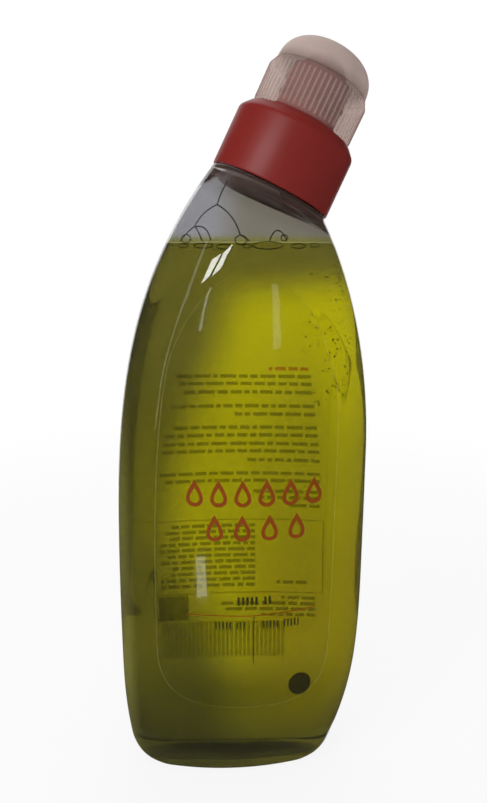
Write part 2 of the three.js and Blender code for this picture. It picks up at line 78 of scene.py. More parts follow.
class Finish:
    """The nodes of one material or of the world's surroundings."""

    def __init__(self, owner):
        self.owner = owner
        owner.use_nodes = True
        self.tree = owner.node_tree
        self.tree.nodes.clear()

    def node(self, kind, settings=(), sockets=(), output=0):
        """Adds a node: sets its settings, then the values or links of its sockets, and gives one output."""
        made = self.tree.nodes.new("ShaderNode" + kind)
        for name, value in dict(settings).items():
            setattr(made, name, value)
        for name, value in dict(sockets).items():
            if isinstance(value, Value):
                self.tree.links.new(value.socket, made.inputs[name])
            else:
                made.inputs[name].default_value = value
        return Value(self, made.outputs[output]) if made.outputs else None

    def math(self, operation, first, second=0.0):
        return self.node("Math", {"operation": operation}, {0: first, 1: second})

    def rise(self, value, low, high):
        """A smooth step from 0 at low to 1 at high."""
        limits = {"Value": value, "From Min": low, "From Max": high}
        return self.node("MapRange", {"interpolation_type": "SMOOTHSTEP"}, limits)

    def blend(self, amount, first, second):
        """A colour that goes from the first to the second with the amount."""
        sockets = {0: amount, 6: first, 7: second}
        return self.node("Mix", {"data_type": "RGBA"}, sockets, output=2)

    def noise(self, place, size, detail=3.0):
        """Cloudy pattern from 0 to 1, with blobs of about the given size in millimetres."""
        return self.node("TexNoise", {}, {"Vector": place, "Scale": 1 / size, "Detail": detail})

    def place(self):
        """Object coordinates in millimetres."""
        metres = self.node("TexCoord", output="Object")
        return self.node("VectorMath", {"operation": "SCALE"}, {0: metres, "Scale": 1000.0})

    def axes(self):
        """The x, y and z of each point, in millimetres."""
        split = self.node("SeparateXYZ", {}, {0: self.place()})
        return [split.output(name) for name in "XYZ"]

    def mixed(self, amount, first, second):
        return self.node("MixShader", {}, {0: amount, 1: first, 2: second})

    def surface(self, shader):
        kind = "OutputWorld" if isinstance(self.owner, bpy.types.World) else "OutputMaterial"
        self.node(kind, {}, {"Surface": shader})
        return self.owner


operations = {"add": "ADD", "sub": "SUBTRACT", "mul": "MULTIPLY", "truediv": "DIVIDE", "pow": "POWER"}
for word, operation in operations.items():
    setattr(Value, f"__{word}__", lambda self, other, name=operation: self.finish.math(name, self, other))
    setattr(Value, f"__r{word}__", lambda self, other, name=operation: self.finish.math(name, other, self))


def new_finish(name):
    return Finish(bpy.data.materials.new(name))


FLOOR_RADIUS = 1.6
FLOOR_WHITE = 0.9
FLOOR_GLOW = 0.88
FLOOR_FADE = (160, 560)
ROOM_FILL = 0.5


def seen_directly(finish):
    """1 for rays from the camera and for those that gloss or glass sends on, 0 for those that only light."""
    kinds = ("Camera", "Glossy", "Transmission")
    rays = [finish.node("LightPath", output=f"Is {kind} Ray") for kind in kinds]
    return finish.math("MINIMUM", rays[0] + rays[1] + rays[2], 1.0)


def floor_board():
    """Matt white near the bottle, where it takes the shadow, and plain white as the backdrop further out."""
    finish = new_finish("floor_board")
    x, y, _ = finish.axes()
    far = finish.rise((x * x + y * y) ** 0.5, *FLOOR_FADE)
    white = finish.node("BsdfDiffuse", {}, {"Color": (FLOOR_WHITE, FLOOR_WHITE, FLOOR_WHITE, 1)})
    backdrop = finish.node("Emission", {}, {"Strength": 1.0})
    amount = (far * (1 - FLOOR_GLOW) + FLOOR_GLOW) * seen_directly(finish)
    return finish.surface(finish.mixed(amount, white, backdrop))


bpy.ops.mesh.primitive_circle_add(vertices=96, radius=FLOOR_RADIUS, fill_type="NGON", location=(0, 0, 0))
floor = bpy.context.object
floor.name = "floor"
floor.data.materials.append(floor_board())

room = Finish(bpy.data.worlds.new("room"))
dim_room = room.node("Background", {}, {"Color": (1, 1, 1, 1), "Strength": ROOM_FILL})
white_room = room.node("Background", {}, {"Color": (1, 1, 1, 1), "Strength": 1.0})
room.surface(room.mixed(seen_directly(room), dim_room, white_room))
bpy.context.scene.world = room.owner


# Lamps: two panes beside each other at the left, as a window with a bar between them, four faint strips, one
# of them low and near, and soft wide lamps that only light. A dim sheet in front stands for the dark side of
# the room in the gloss of the bottle.
LAMP_AIM = np.array([-0.01, -0.03, 0.2])
LAMP_DISTANCE = 1.15


def direction(azimuth, elevation):
    """Unit direction: azimuth from the front, positive to the right, and elevation, both in degrees."""
    a, e = np.radians(azimuth), np.radians(elevation)
    return np.stack(np.broadcast_arrays(np.sin(a) * np.cos(e), -np.cos(a) * np.cos(e), np.sin(e)), -1)


def lamp(name, azimuth, elevation, size, power, mirrored, aim=LAMP_AIM, distance=LAMP_DISTANCE):
    """A rectangular lamp of the given width and height in metres, turned to its aim.

    A mirrored lamp shows in gloss and lights nothing matt. The others light, and no gloss shows them.
    """
    data = bpy.data.lights.new(name, "AREA")
    data.shape = "RECTANGLE"
    data.size, data.size_y = size
    data.energy = power
    made = bpy.data.objects.new(name, data)
    bpy.context.scene.collection.objects.link(made)
    away = direction(azimuth, elevation)
    made.location = aim + distance * away
    made.rotation_euler = (atan2(np.hypot(away[0], away[1]), away[2]), 0, atan2(away[0], -away[1]))
    made.visible_camera = False
    made.visible_transmission = False
    made.visible_glossy = mirrored
    made.visible_diffuse = not mirrored


lamp("window_left", -40.6, 25, (0.205, 0.18), 2.3, True)
lamp("window_right", -25.6, 23.5, (0.18, 0.2), 2.2, True)
lamp("strip_left", -25, 8, (0.03, 0.2), 0.06, True)
lamp("strip_right", 17, 4, (0.09, 0.26), 0.09, True)
lamp("strip_side", -64, 6, (0.08, 1.4), 0.6, True)
lamp("strip_low", -19.7, -28, (0.014, 0.05), 0.006, True, aim=np.array([-0.012, -0.03, 0.07]), distance=0.14)
lamp("soft_left", -50, 22, (0.6, 0.6), 5.1, False)
lamp("soft_right", 60, 25, (0.7, 0.7), 0.2, False)
lamp("soft_top", 170, 65, (0.8, 0.8), 2.4, False)

SHEET_NEAR = (0.042, 0.018)
SHEET_LIFT = 0.001
SHEET_FAR = 1.45
SHEET_SIDE = 150
SHEET_TOP = 80
SHEET_GLOW = 0.035


def dim_sheet():
    """A sheet that lies on the floor in front and curves up beyond the lamps. Only gloss shows it."""
    azimuth = np.linspace(-SHEET_SIDE, SHEET_SIDE, 49)
    elevation = np.linspace(0, SHEET_TOP, 17)[:, None]
    near = direction(azimuth, 0)[None] * (*SHEET_NEAR, 0)
    rows = np.concatenate([near, SHEET_FAR * direction(azimuth, elevation)])
    rows[..., 2] += SHEET_LIFT
    index = np.arange(rows.size // 3).reshape(rows.shape[:2])
    quads = np.stack([index[:-1, :-1], index[:-1, 1:], index[1:, 1:], index[1:, :-1]], -1).reshape(-1, 4)
    mesh = bpy.data.meshes.new("dim_sheet")
    mesh.from_pydata(rows.reshape(-1, 3), [], quads.tolist())
    finish = new_finish("dim_sheet")
    mesh.materials.append(finish.surface(finish.node("Emission", {}, {"Strength": SHEET_GLOW})))
    made = bpy.data.objects.new("dim_sheet", mesh)
    bpy.context.scene.collection.objects.link(made)
    made.visible_camera = False
    made.visible_diffuse = False
    made.visible_transmission = False
    made.visible_shadow = False
    return made


dim_sheet()


# Bottle: one blown shell of clear PET, oval, with shallow flat panels front and back and a neck that leans
# 25.5 degrees. Its base is pushed up inside a flat resting ring, and a bead on the neck holds the closure.
MM = 0.001
BELLY_HALF_WIDTH = 46
LEFT_SIDE = {
    "foot": -44, "foot_angle": 8.2, "foot_pull": 9.7, "belly": 40.6,
    "pull_down": 11.6, "pull_up": 87.6, "neck_angle": 37.9, "neck_pull": 59.8,
}
RIGHT_SIDE = {
    "foot": 36.9, "foot_angle": 17.1, "foot_pull": 34.4, "belly": 124,
    "pull_down": 66, "pull_up": 42.5, "neck_angle": -29.7, "neck_pull": 11.8,
}
FOOT_HALF_DEPTH = 23.5
BELLY_HALF_DEPTH = 35
DEPTH_BELLY_Z = 98
DEPTH_PULL_DOWN = 52
DEPTH_PULL_UP = 62
DEPTH_END_PULL = 26
FOOT_SPREAD = 6.5
SHOULDER_SPREAD = 8.7
FOOT_SQUARENESS = 2.75
BELLY_SQUARENESS = 2.2
NECK_SQUARENESS = 2
PANEL_DEPTH = 3
PANEL_BOTTOM_Z = 31
PANEL_FULL_Z = 54
PANEL_FADE_Z = 150
PANEL_TOP_Z = 211
PANEL_CROWN = 0.307
PANEL_CREASE = 0.5
BACK_CREASE = 2.5
HEEL_HEIGHT = 9
HEEL_INSET = 7.4
HEEL_WALL_EASE = 0.4
HEEL_LEAN = 0.25
REST_RING_WIDTH = 4
PUSH_UP = 4.5
WALL = 0.7
BASE_WALL = 1.4
NECK_FOOT = np.array([10.05, 214.2])
NECK_LEAN = radians(25.5)
SHOULDER_RADIUS = 20.9
SHOULDER_ROUND = 0.8
NECK_RADIUS = 16.4
NECK_WALL = 2.2
BORE_FLARE = 1
BEAD_HEIGHT = 1.2
BEAD_BOTTOM = 6
BEAD_WIDTH = 2.4
LIP_HEIGHT = 20.8
LIP_ROUND = 0.65
SEAT_GAP = 0.3
BODY_COLUMNS = 144
BODY_ROWS = 120
INNER_ROWS = 100
INNER_TOP_SHARE = 0.975
HEEL_ROWS = 12

neck_axis = np.array([sin(NECK_LEAN), cos(NECK_LEAN)])
neck_across = np.array([cos(NECK_LEAN), -sin(NECK_LEAN)])


def lerp(first, second, share):
    return first + (second - first) * share


def smoothstep(value, low, high):
    share = np.clip((value - low) / (high - low), 0, 1)
    return share * share * (3 - 2 * share)


def neck_point(along, across):
    """Point of the front view: the neck's foot + along * the neck's axis + across * the way across it."""
    return NECK_FOOT + np.multiply.outer(along, neck_axis) + np.multiply.outer(across, neck_across)


def along_neck(x, z):
    """Distance along the neck's axis from its foot, worked out from a material's x and z."""
    return (x - NECK_FOOT[0]) * neck_axis[0] + (z - NECK_FOOT[1]) * neck_axis[1]


def cubic(start, pull_start, pull_end, end, count=300):
    """Cubic curve: (1-t)^3 start + 3(1-t)^2 t pull_start + 3(1-t) t^2 pull_end + t^3 end."""
    t = np.linspace(0, 1, count)[:, None]
    s = 1 - t
    return s ** 3 * start + 3 * s ** 2 * t * pull_start + 3 * s * t * t * pull_end + t ** 3 * end


def two_curves(foot, foot_pull, belly, pull_down, pull_up, neck_pull, neck):
    """An outline from the heel to the neck: two cubics that meet upright at the belly."""
    lower = cubic(foot, foot_pull, belly - (0, pull_down), belly)
    upper = cubic(belly, belly + (0, pull_up), neck_pull, neck)
    return np.concatenate([lower, upper[1:]])


def side_outline(side, sign):
    """(x, z) up one side of the body in the front view."""
    foot = np.array([side["foot"], HEEL_HEIGHT])
    belly = np.array([sign * BELLY_HALF_WIDTH, side["belly"]])
    neck = neck_point(-SEAT_GAP - SHOULDER_ROUND, sign * SHOULDER_RADIUS)
    foot_angle, neck_angle = radians(sign * side["foot_angle"]), radians(side["neck_angle"])
    foot_pull = foot + side["foot_pull"] * np.array([sin(foot_angle), cos(foot_angle)])
    neck_pull = neck - side["neck_pull"] * np.array([sin(neck_angle), cos(neck_angle)])
    return two_curves(foot, foot_pull, belly, side["pull_down"], side["pull_up"], neck_pull, neck)


def depth_outline():
    """(half depth, z) in the side view."""
    foot = np.array([FOOT_HALF_DEPTH, HEEL_HEIGHT])
    belly = np.array([BELLY_HALF_DEPTH, DEPTH_BELLY_Z])
    neck = np.array([SHOULDER_RADIUS, neck_point(-SEAT_GAP - SHOULDER_ROUND, 0)[1]])
    foot_pull = foot + (FOOT_SPREAD, DEPTH_END_PULL)
    neck_pull = neck + (SHOULDER_SPREAD, -DEPTH_END_PULL)
    return two_curves(foot, foot_pull, belly, DEPTH_PULL_DOWN, DEPTH_PULL_UP, neck_pull, neck)


left_outline = side_outline(LEFT_SIDE, -1)
right_outline = side_outline(RIGHT_SIDE, 1)
depths = depth_outline()


def outline_at(outline, z):
    return np.interp(z, outline[:, 1], outline[:, 0])


def body_section(share):
    """Sections that fan out from level at the heel, share 0, to square with the leaning neck, share 1.

    Gives the centre and the direction of each in the front view, and its half width, half depth, squareness
    and cut.
    """
    left_z = lerp(HEEL_HEIGHT, left_outline[-1, 1], share)
    right_z = lerp(HEEL_HEIGHT, right_outline[-1, 1], share)
    left = np.stack([outline_at(left_outline, left_z), left_z], -1)
    right = np.stack([outline_at(right_outline, right_z), right_z], -1)
    centre = (left + right) / 2
    half_width = np.linalg.norm(right - left, axis=-1) / 2
    way = (right - centre) / half_width[..., None]
    z = centre[..., 1]
    foot_to_belly = lerp(FOOT_SQUARENESS, BELLY_SQUARENESS, smoothstep(z, HEEL_HEIGHT, DEPTH_BELLY_Z))
    squareness = lerp(foot_to_belly, NECK_SQUARENESS, smoothstep(z, DEPTH_BELLY_Z, PANEL_TOP_Z))
    start, end = smoothstep(z, PANEL_BOTTOM_Z, PANEL_FULL_Z), smoothstep(z, PANEL_FADE_Z, PANEL_TOP_Z)
    return centre, way, half_width, outline_at(depths, z), squareness, PANEL_DEPTH * start * (1 - end)


def section_depth(section, v, inset, side):
    """Depth at the share v of the half width: the form (1 - v^n)^(1/n), sliced by the panel.

    The crease between the two is soft, and softer on the back.
    """
    half_depth, squareness, cut = section[3:]
    v = np.minimum(np.abs(v), 1)
    rounded_form = (1 - v ** squareness) ** (1 / squareness) * half_depth
    panel = half_depth - cut - PANEL_CROWN * half_depth * v * v
    softness = np.where(np.greater(side, 0), BACK_CREASE, PANEL_CREASE) * cut / PANEL_DEPTH
    depth = (rounded_form + panel - np.hypot(rounded_form - panel, softness)) / 2
    return np.maximum(depth, 0) * (1 - inset / half_depth)


def section_points(section, v, side, inset, z=None):
    """Points of a section at shares v of its half width, on the back (side 1) or the front (side -1)."""
    centre, way, half_width = section[:3]
    x = v * (half_width - inset)
    if z is None:
        z = centre[..., 1] + way[..., 1] * x
        x = way[..., 0] * x
    y = side * section_depth(section, v, inset, side)
    return np.stack(np.broadcast_arrays(centre[..., 0] + x, y, z), -1)


turns = np.arange(BODY_COLUMNS) * 2 * pi / BODY_COLUMNS
reach = np.abs(np.cos(turns)) ** BELLY_SQUARENESS + np.abs(np.sin(turns)) ** BELLY_SQUARENESS
ring_v = np.cos(turns) / reach ** (1 / BELLY_SQUARENESS)
ring_side = np.where(np.sin(turns) >= 0, 1, -1)


def body_rings(rows, inset, top):
    """Rings of the body from the heel up to the share top."""
    share = np.linspace(0, top, rows + 1)[:, None]
    return section_points(body_section(share), ring_v, ring_side, inset)


def heel_rings(insets, heights):
    """Level rings of the heel and the base: the lowest section, drawn in by each inset."""
    base = body_section(np.zeros((len(insets), 1)))
    return section_points(base, ring_v, ring_side, np.array(insets)[:, None], np.array(heights)[:, None])


def foot_rings(inset, rise):
    """The middle of the base, then rings out over the push-up and the resting ring, and up the heel."""
    rest_inner = HEEL_INSET + REST_RING_WIDTH + inset
    share = np.linspace(0.12, 0.97, 12)
    turn = np.linspace(0, pi / 2, HEEL_ROWS, endpoint=False)
    heel_height = rise + (HEEL_HEIGHT - rise) * (1 - np.cos(turn))
    lean = HEEL_LEAN * (HEEL_HEIGHT - heel_height) * (heel_height - rise) / HEEL_HEIGHT
    heel = inset + (HEEL_INSET - HEEL_WALL_EASE * inset) * (1 - np.sin(turn)) + lean
    insets = [*lerp(FOOT_HALF_DEPTH, rest_inner, share), rest_inner, *heel]
    heights = [*(PUSH_UP * (1 - share ** 2) + rise), rise, *heel_height]
    middle = body_section(np.zeros(1))[0][0, 0]
    return np.array([middle, 0, PUSH_UP + rise]), heel_rings(insets, heights)


def neck_rings(pairs):
    """Round rings of the neck, square with its axis, from (distance along it, radius) pairs."""
    along, radius = np.array(pairs, float).T[..., None]
    front = NECK_FOOT + along[..., None] * neck_axis + (np.cos(turns) * radius)[..., None] * neck_across
    return np.stack([front[..., 0], np.sin(turns) * radius, front[..., 1]], -1)


def loft(rings, first=None, last=None):
    """Skin over rings of equal count: its points, quads and triangles, which fan out from two end points.

    Without end points the last ring joins the first.
    """
    rows, columns = rings.shape[:2]
    index = np.arange(rows * columns).reshape(rows, columns)
    low, high = (index, np.roll(index, -1, 0)) if first is None else (index[:-1], index[1:])
    quads = np.stack([low, np.roll(low, -1, 1), np.roll(high, -1, 1), high], -1).reshape(-1, 4)
    points = rings.reshape(-1, 3)
    if first is None:
        return points, quads, np.zeros((0, 3), int)
    start, end = np.full(columns, len(points)), np.full(columns, len(points) + 1)
    below = np.stack([start, np.roll(index[0], -1), index[0]], -1)
    above = np.stack([index[-1], np.roll(index[-1], -1), end], -1)
    return np.vstack([points, first, last]), quads, np.concatenate([below, above])


def outward(skin):
    """The same closed skin, with its faces turned round if the volume in them comes out negative."""
    points, quads, triangles = skin
    a, b, c = points[np.concatenate([quads[:, :3], quads[:, [0, 2, 3]], triangles])].transpose(1, 0, 2)
    if np.einsum("ij,ij->", a, np.cross(b, c)) > 0:
        return skin
    return points, quads[:, ::-1], triangles[:, ::-1]


def piece(name, skins, materials, body="bottle", node=None, crisp=40, second=None, marks=()):
    """One object from skins in millimetres, with marks as values at its points, tied to a body.

    Faces flagged in second take the second material.
    """
    points, quads, triangles = [], [], []
    for skin in skins:
        start = sum(len(p) for p in points)
        skin_points, skin_quads, skin_triangles = outward(skin)
        points.append(skin_points)
        quads.append(skin_quads + start)
        triangles.append(skin_triangles + start)
    mesh = bpy.data.meshes.new(name)
    faces = np.concatenate(quads).tolist() + np.concatenate(triangles).tolist()
    mesh.from_pydata(np.vstack(points) * MM, [], faces)
    for material in materials:
        mesh.materials.append(material)
    if second is not None:
        mesh.polygons.foreach_set("material_index", second.astype(np.int32))
    for mark, values in dict(marks).items():
        mesh.attributes.new(mark, "FLOAT", "POINT").data.foreach_set("value", values.ravel())
    mesh.shade_smooth()
    mesh.set_sharp_from_angle(angle=radians(crisp))
    made = bpy.data.objects.new(name, mesh)
    bpy.context.scene.collection.objects.link(made)
    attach(made, body)
    if node:
        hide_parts(node)


def bottle_skin():
    """Outside from the base to the lip, then the bore and the inside back down to the base."""
    bead_top = NECK_RADIUS + BEAD_HEIGHT
    bore_radius = NECK_RADIUS - NECK_WALL
    under = -SEAT_GAP - WALL
    outer_neck = neck_rings([
        (-SEAT_GAP - SHOULDER_ROUND * 0.7, SHOULDER_RADIUS - SHOULDER_ROUND * 0.04),
        (-SEAT_GAP - SHOULDER_ROUND * 0.3, SHOULDER_RADIUS - SHOULDER_ROUND * 0.3),
        (-SEAT_GAP - SHOULDER_ROUND * 0.06, SHOULDER_RADIUS - SHOULDER_ROUND * 0.65),
        (-SEAT_GAP, SHOULDER_RADIUS - SHOULDER_ROUND * 1.1), (-SEAT_GAP, NECK_RADIUS + 0.4),
        (-SEAT_GAP + 0.4, NECK_RADIUS), (BEAD_BOTTOM, NECK_RADIUS),
        (BEAD_BOTTOM + 0.4, bead_top), (BEAD_BOTTOM + BEAD_WIDTH / 2, bead_top),
        (BEAD_BOTTOM + BEAD_WIDTH, NECK_RADIUS), (LIP_HEIGHT - LIP_ROUND, NECK_RADIUS),
        (LIP_HEIGHT, NECK_RADIUS - LIP_ROUND),
    ])
    bore = neck_rings([
        (LIP_HEIGHT, bore_radius + LIP_ROUND), (LIP_HEIGHT - LIP_ROUND, bore_radius), (0.6, bore_radius),
        (0, bore_radius + 0.2), (under, bore_radius + BORE_FLARE), (under - 0.2, NECK_RADIUS),
        (under - 0.3, SHOULDER_RADIUS - WALL - 2 * SHOULDER_ROUND),
    ])
    outer_base, outer_foot = foot_rings(0, 0)
    inner_base, inner_foot = foot_rings(WALL, BASE_WALL)
    outside = [outer_foot, body_rings(BODY_ROWS, 0, 1), outer_neck, bore]
    inside = np.concatenate([inner_foot, body_rings(INNER_ROWS, WALL, INNER_TOP_SHARE)])[::-1]
    skin = loft(np.concatenate([*outside, inside]), outer_base, inner_base)
    inner_quads = np.arange(len(skin[1])) >= sum(len(rings) for rings in outside) * BODY_COLUMNS
    inner_fan = np.arange(2 * BODY_COLUMNS) >= BODY_COLUMNS
    return skin, np.concatenate([inner_quads, inner_fan])


def clear_pet(name, shine):
    """Clear blown PET: slightly wavy, with painted shade above the liquid: a grey tint for the dim room seen
    through it.

    The mould leaves a fine parting line down both sides, and a wet film of the liquid stands just over its
    level. A thin matt layer of painted light lifts the dark at the collar, at the foot and down the left side.
    The inside touches the liquid, so that it hardly shines.
    """
    finish = new_finish(name)
    x, y, z = finish.axes()
    waves = finish.noise(finish.place(), 14.0, 1.0)
    seam = 1 - finish.rise(finish.math("ABSOLUTE", y), 0.1, 0.3)
    normal = finish.node("Bump", {}, {"Strength": 0.25, "Distance": 0.0004, "Height": waves + seam * 0.3})
    # Painted shade: a grey tint, lighter and cooler at the left, that stands for the darker room seen through
    # the empty top.
    room_shade_tint = finish.blend(finish.rise(x, -12.0, 4.0), (0.53, 0.53, 0.55, 1), (0.44, 0.425, 0.38, 1))
    wet_film_over_room_shade = finish.blend(finish.rise(z, 197.4, 200.4), (0.43, 0.42, 0.20, 1), room_shade_tint)
    glass = finish.node("BsdfPrincipled", {}, {
        "Base Color": finish.blend(finish.rise(z, 196.8, 197.4), (0.93, 0.94, 0.94, 1), wet_film_over_room_shade),
        "Roughness": 0.02, "IOR": 1.45, "Transmission Weight": 1.0,
        "Specular Tint": (shine, shine, shine, 1), "Normal": normal,
    })
    along = along_neck(x, z)
    # Painted light: a matt layer, yellow low down and pinkish near the collar, that lightens the dark at the
    # collar, foot and left side.
    painted_fill_tone = finish.blend(finish.rise(z, 185.0, 200.0), (0.45, 0.43, 0.12, 1), (0.50, 0.33, 0.27, 1))
    painted_fill = finish.node("BsdfDiffuse", {}, {"Color": painted_fill_tone})
    at_collar = finish.rise(along, -9.0, -2.0) * (0.06 + waves * 0.06)
    at_foot = (1 - finish.rise(z, 8.0, 22.0)) * 0.09
    at_side = (1 - finish.rise(x, -44.0, -37.0)) * 0.18
    return finish.surface(finish.mixed(at_collar + at_foot + at_side, glass, painted_fill))


shell, inside_faces = bottle_skin()
pet = [clear_pet("clear_pet", 0.9), clear_pet("clear_pet_inside", 0.1)]
piece("bottle_shell", [shell], pet, node="bottle", crisp=50, second=inside_faces)


# Liquid: the clear yellow-green cleaner. It touches the shell all round, up to a level line, where it climbs
# a little at the wall. Its skin runs in the middle of the shell's wall, so that no air shows in between.
FILL_LEVEL = 196.6
MENISCUS = 0.4
MENISCUS_REACH = 1.2
LIQUID_ROWS = 110
HALVINGS = 40


def section_share(z, across):
    """Share of the height of the section that passes each height z, found by halving the gap.

    The function across gives how far out from a section's centre the point lies.
    """
    low, high = np.zeros_like(z), np.ones_like(z)
    for _ in range(HALVINGS):
        middle = (low + high) / 2
        section = body_section(middle)
        above = section[0][..., 1] + section[1][..., 1] * across(section) > z
        low, high = np.where(above, low, middle), np.where(above, middle, high)
    return (low + high) / 2


def liquid_skin():
    """The shell's form drawn in by half its wall, cut off at the level, with a low meniscus at its edge."""
    inset = WALL / 2
    base, foot = foot_rings(inset, BASE_WALL / 2)
    level = np.full_like(ring_v, FILL_LEVEL + MENISCUS)
    top = section_share(level, lambda section: ring_v * (section[2] - inset))
    share = np.linspace(0, 1, LIQUID_ROWS)[:, None] * top
    side = section_points(body_section(share), ring_v, ring_side, inset)
    edge = side[-1]
    middle = np.array([edge[:, 0].mean(), 0, FILL_LEVEL])
    inward = np.array([0.02, 0.05, 0.09, 0.16, 0.3, 0.6])[:, None, None]
    surface = lerp(edge, middle, inward)
    distance = np.linalg.norm((edge - middle)[:, :2], axis=-1)
    surface[..., 2] = FILL_LEVEL + MENISCUS * np.exp(-inward[..., 0] * distance / MENISCUS_REACH)
    return loft(np.concatenate([foot, side, surface]), base, middle)


def cleaner():
    """Yellow-green liquid with painted light and shade: a glow in the belly, duller on its right, olive at
    left, top and foot.
    """
    finish = new_finish("cleaner")
    x, _, z = finish.axes()
    cloud = finish.noise(finish.place(), 30.0, 1.0)
    # Painted light: glow marks where the liquid is painted bright, in the belly, less at the right and low
    # down, and none at the top.
    left = finish.rise(z, 100.0, 188.0) * 22 - 24 + (1 - finish.rise(z, 40.0, 90.0)) * 18
    glow = finish.rise(x - left, -11.0, 11.0)
    right_edge = finish.rise(x, 22.0, 34.0) * (0.35 + finish.rise(z, 118.0, 138.0) * 0.65)
    right = finish.rise(x, -8.0, 24.0) * (1 - right_edge)
    glow = glow * (1 - right * finish.rise(z, 45.0, 80.0) * (1 - finish.rise(z, 140.0, 190.0)) * 0.35)
    glow = glow * (1 - (1 - finish.rise(z, 45.0, 90.0)) * 0.3)
    glow = glow * (1 - finish.rise(z, 174.0, 190.0)) * (0.85 + cloud * 0.4)
    low = finish.rise(x, -6.0, 16.0) * (1 - finish.rise(z, 60.0, 130.0))
    high = finish.rise(z, 130.0, 165.0)
    middle = finish.blend(high, (0.380, 0.335, 0.0008, 1), (0.490, 0.440, 0.0020, 1))
    bright = finish.blend(low, middle, (0.340, 0.270, 0.0005, 1))
    # Painted shade: olive at the left and near the top, with a painted rim of light at the far left edge.
    shade = finish.blend(high, (0.115, 0.101, 0.006, 1), (0.140, 0.124, 0.014, 1))
    dark = finish.blend(finish.rise(x, -45.0, -37.0), (0.420, 0.380, 0.080, 1), shade)
    light = finish.blend(glow, dark, bright)
    # Painted shade: darker towards the foot, most at its left.
    foot = finish.blend(finish.rise(x, -20.0, 25.0), (0.050, 0.048, 0.005, 1), (0.110, 0.098, 0.005, 1))
    return finish.surface(finish.node("BsdfPrincipled", {}, {
        "Base Color": finish.blend(finish.rise(z, 12.0, 40.0), foot, light),
        "Roughness": 0.0, "IOR": 1.33, "Transmission Weight": 1.0, "Specular Tint": (0.15, 0.15, 0.15, 1),
    }))


piece("cleaner_liquid", [liquid_skin()], [cleaner()], node="liquid", crisp=70)


# Closure: one red polypropylene moulding, pressed over the neck's bead. A drafted skirt, a bevel and a deck
# carry the flange, the threaded spigot and the nozzle.
SKIRT_RADIUS = 20.7
SKIRT_DRAFT = 0.3
SKIRT_HEIGHT = 19.6
SKIRT_WALL = 1.5
DECK_HEIGHT = 22.7
DECK_RADIUS = 17.8
DECK_WALL = 1.6
SNAP_RING_HEIGHT = 2
SEAL_DEPTH = 4
SEAL_WALL = 1.2
SLIDE_GAP = 0.5
FLANGE_RADIUS = 12
FLANGE_HEIGHT = 2.3
SPIGOT_RADIUS = 10.4
SPIGOT_TOP = 39.2
SPIGOT_WALL = 1.4
THREAD_START = 27
THREAD_END = 36
THREAD_TURNS = 1.75
THREAD_HEIGHT = 0.5
THREAD_WIDTH = 1.8
NOZZLE_FOOT_RADIUS = 8.6
NOZZLE_MIDDLE_RADIUS = 7
NOZZLE_TIP_RADIUS = 2.8
NOZZLE_TIP = 45.8
ORIFICE_RADIUS = 1.4
CLOSURE_COLUMNS = 144


def rounded(corners, steps=5):
    """Profile through (radius, height, rounding) corners, each rounded off by a parabola."""
    corners = np.array(corners, float)
    points = corners[:, :2]
    path = []
    for i, (corner, rounding) in enumerate(zip(points, corners[:, 2])):
        back, ahead = points[i - 1] - corner, points[(i + 1) % len(points)] - corner
        if rounding == 0:
            path.append(corner)
            continue
        start = corner + back / np.linalg.norm(back) * rounding
        end = corner + ahead / np.linalg.norm(ahead) * rounding
        t = np.linspace(0, 1, steps)[:, None]
        path += list((1 - t) ** 2 * start + 2 * (1 - t) * t * corner + t * t * end)
    return np.array(path)


def in_neck(radius, turn, along):
    """From turns about the neck's axis and heights along it to the bottle's x, y and z."""
    radius, turn, along = np.broadcast_arrays(radius, turn, along)
    front = NECK_FOOT + (radius * np.cos(turn))[..., None] * neck_across + along[..., None] * neck_axis
    return np.stack([front[..., 0], radius * np.sin(turn), front[..., 1]], -1)


